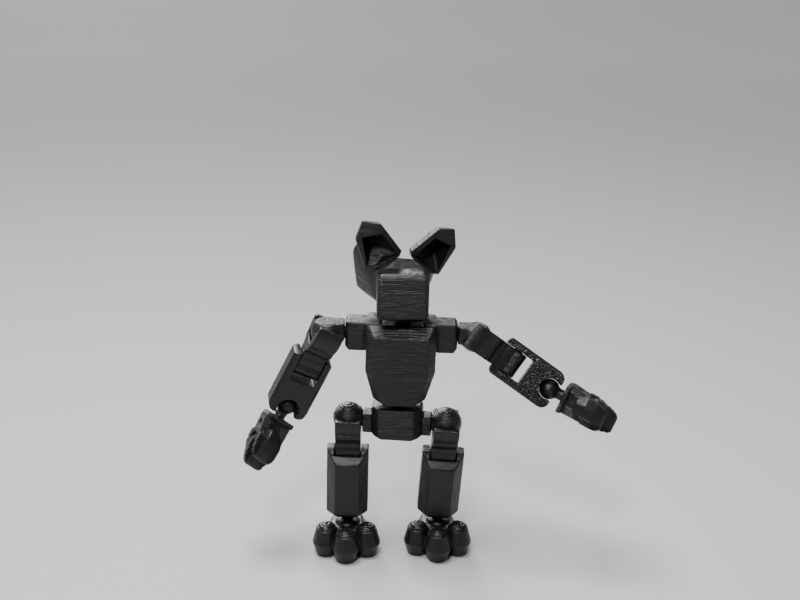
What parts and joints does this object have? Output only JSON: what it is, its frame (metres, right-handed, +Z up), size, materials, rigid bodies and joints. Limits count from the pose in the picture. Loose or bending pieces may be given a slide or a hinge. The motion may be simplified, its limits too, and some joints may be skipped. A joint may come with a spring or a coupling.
{
  "type": "posable robot figure",
  "caption": "Posable humanoid robot figure with ball-jointed limbs, forked elbows and knees, toed feet and an animal-eared head.",
  "frame": {"origin": "middle of the figure's bounding box, at the level of the soles", "axes": "+X towards the figure's left hand, -Y the way the face looks, +Z up"},
  "size_m": [0.1262, 0.0398, 0.1207],
  "materials": {
    "printed_plastic": "satin layer-printed"
  },
  "bodies": {
    "pelvis": {"pelvis": "printed_plastic"},
    "waist_stud": {"waist_stud": "printed_plastic"},
    "torso": {"torso": "printed_plastic"},
    "neck_stud": {"neck_stud": "printed_plastic"},
    "head": {"head": "printed_plastic", "muzzle": "printed_plastic", "ear_left": "printed_plastic", "ear_right": "printed_plastic"},
    "shoulder_stud_left": {"shoulder_stud_left": "printed_plastic"},
    "upper_arm_left": {"upper_arm_left": "printed_plastic"},
    "forearm_left": {"forearm_left": "printed_plastic", "elbow_pin_left": "printed_plastic"},
    "hand_left": {"hand_left": "printed_plastic"},
    "hip_stud_left": {"hip_stud_left": "printed_plastic"},
    "thigh_left": {"thigh_left": "printed_plastic"},
    "shin_left": {"shin_left": "printed_plastic", "knee_pin_left": "printed_plastic"},
    "foot_left": {"foot_left": "printed_plastic"},
    "shoulder_stud_right": {"shoulder_stud_right": "printed_plastic"},
    "upper_arm_right": {"upper_arm_right": "printed_plastic"},
    "forearm_right": {"forearm_right": "printed_plastic", "elbow_pin_right": "printed_plastic"},
    "hand_right": {"hand_right": "printed_plastic"},
    "hip_stud_right": {"hip_stud_right": "printed_plastic"},
    "thigh_right": {"thigh_right": "printed_plastic"},
    "shin_right": {"shin_right": "printed_plastic", "knee_pin_right": "printed_plastic"},
    "foot_right": {"foot_right": "printed_plastic"}
  },
  "joints": [
    {"name": "waist_twist", "type": "hinge", "parent": "pelvis", "child": "waist_stud", "pos_m": [-0.01025, -0.00117, 0.0617], "axis": [0.007, -0.0006, 1], "range_deg": [-20, 20]},
    {"name": "waist_bend", "type": "hinge", "parent": "waist_stud", "child": "torso", "pos_m": [-0.01025, -0.00117, 0.0617], "axis": [1, 0.007, -0.007], "range_deg": [-4, 6]},
    {"name": "neck_twist", "type": "hinge", "parent": "torso", "child": "neck_stud", "pos_m": [-0.00953, -0.00146, 0.09349], "axis": [0.0227, -0.0092, 0.9997], "range_deg": [-60, 60]},
    {"name": "head_tilt", "type": "hinge", "parent": "neck_stud", "child": "head", "pos_m": [-0.00953, -0.00146, 0.09349], "axis": [0.9935, 0.1116, -0.0216], "range_deg": [-8, 12]},
    {"name": "shoulder_swing_left", "type": "hinge", "parent": "torso", "child": "shoulder_stud_left", "pos_m": [0.01529, -0.00117, 0.08082], "axis": [-0.9997, -0.0071, 0.0227], "range_deg": [-60, 100]},
    {"name": "shoulder_raise_left", "type": "hinge", "parent": "shoulder_stud_left", "child": "upper_arm_left", "pos_m": [0.01529, -0.00117, 0.08082], "axis": [0.0069, -0.9999, -0.0094], "range_deg": [-40, 60]},
    {"name": "elbow_left", "type": "hinge", "parent": "upper_arm_left", "child": "forearm_left", "pos_m": [0.02746, -0.00145, 0.07207], "axis": [-0.5681, -0.2553, -0.7823], "range_deg": [-8, 85]},
    {"name": "wrist_left", "type": "hinge", "parent": "forearm_left", "child": "hand_left", "pos_m": [0.04059, -0.0054, 0.06383], "axis": [-0.5681, -0.2553, -0.7823], "range_deg": [-25, 25]},
    {"name": "shoulder_swing_right", "type": "hinge", "parent": "torso", "child": "shoulder_stud_right", "pos_m": [-0.0349, -0.00153, 0.08196], "axis": [-0.9997, -0.0071, 0.0227], "range_deg": [-60, 100]},
    {"name": "shoulder_raise_right", "type": "hinge", "parent": "shoulder_stud_right", "child": "upper_arm_right", "pos_m": [-0.0349, -0.00153, 0.08196], "axis": [-0.0069, 0.9999, 0.0094], "range_deg": [-10, 80]},
    {"name": "elbow_right", "type": "hinge", "parent": "upper_arm_right", "child": "forearm_right", "pos_m": [-0.04176, -0.00022, 0.06869], "axis": [-0.8824, -0.1662, 0.4401], "range_deg": [-8, 85]},
    {"name": "wrist_right", "type": "hinge", "parent": "forearm_right", "child": "hand_right", "pos_m": [-0.04887, -0.00048, 0.05435], "axis": [-0.8824, -0.1662, 0.4401], "range_deg": [-25, 12]},
    {"name": "hip_swing_left", "type": "hinge", "parent": "pelvis", "child": "hip_stud_left", "pos_m": [0.0062, -0.0026, 0.04928], "axis": [-0.9962, 0.0872, 0.007], "range_deg": [-30, 85]},
    {"name": "hip_spread_left", "type": "hinge", "parent": "hip_stud_left", "child": "thigh_left", "pos_m": [0.0062, -0.0026, 0.04928], "axis": [-0.0872, -0.9962, 0], "range_deg": [-3, 45]},
    {"name": "knee_left", "type": "hinge", "parent": "thigh_left", "child": "shin_left", "pos_m": [0.00531, -0.00116, 0.03438], "axis": [0.9982, 0, -0.0593], "range_deg": [0, 80]},
    {"name": "ankle_left", "type": "hinge", "parent": "shin_left", "child": "foot_left", "pos_m": [0.00419, 0.00068, 0.0155], "axis": [0.9982, 0, -0.0593], "range_deg": [-15, 15]},
    {"name": "hip_swing_right", "type": "hinge", "parent": "pelvis", "child": "hip_stud_right", "pos_m": [-0.02767, 0.00036, 0.04952], "axis": [-0.9962, 0.0872, 0.007], "range_deg": [-30, 85]},
    {"name": "hip_spread_right", "type": "hinge", "parent": "hip_stud_right", "child": "thigh_right", "pos_m": [-0.02767, 0.00036, 0.04952], "axis": [0.0872, 0.9962, 0], "range_deg": [-3, 45]},
    {"name": "knee_right", "type": "hinge", "parent": "thigh_right", "child": "shin_right", "pos_m": [-0.02786, -0.00026, 0.03453], "axis": [0.9999, 0, -0.0122], "range_deg": [0, 80]},
    {"name": "ankle_right", "type": "hinge", "parent": "shin_right", "child": "foot_right", "pos_m": [-0.02809, -0.00104, 0.01555], "axis": [0.9999, 0, -0.0122], "range_deg": [-15, 15]}
  ]
}
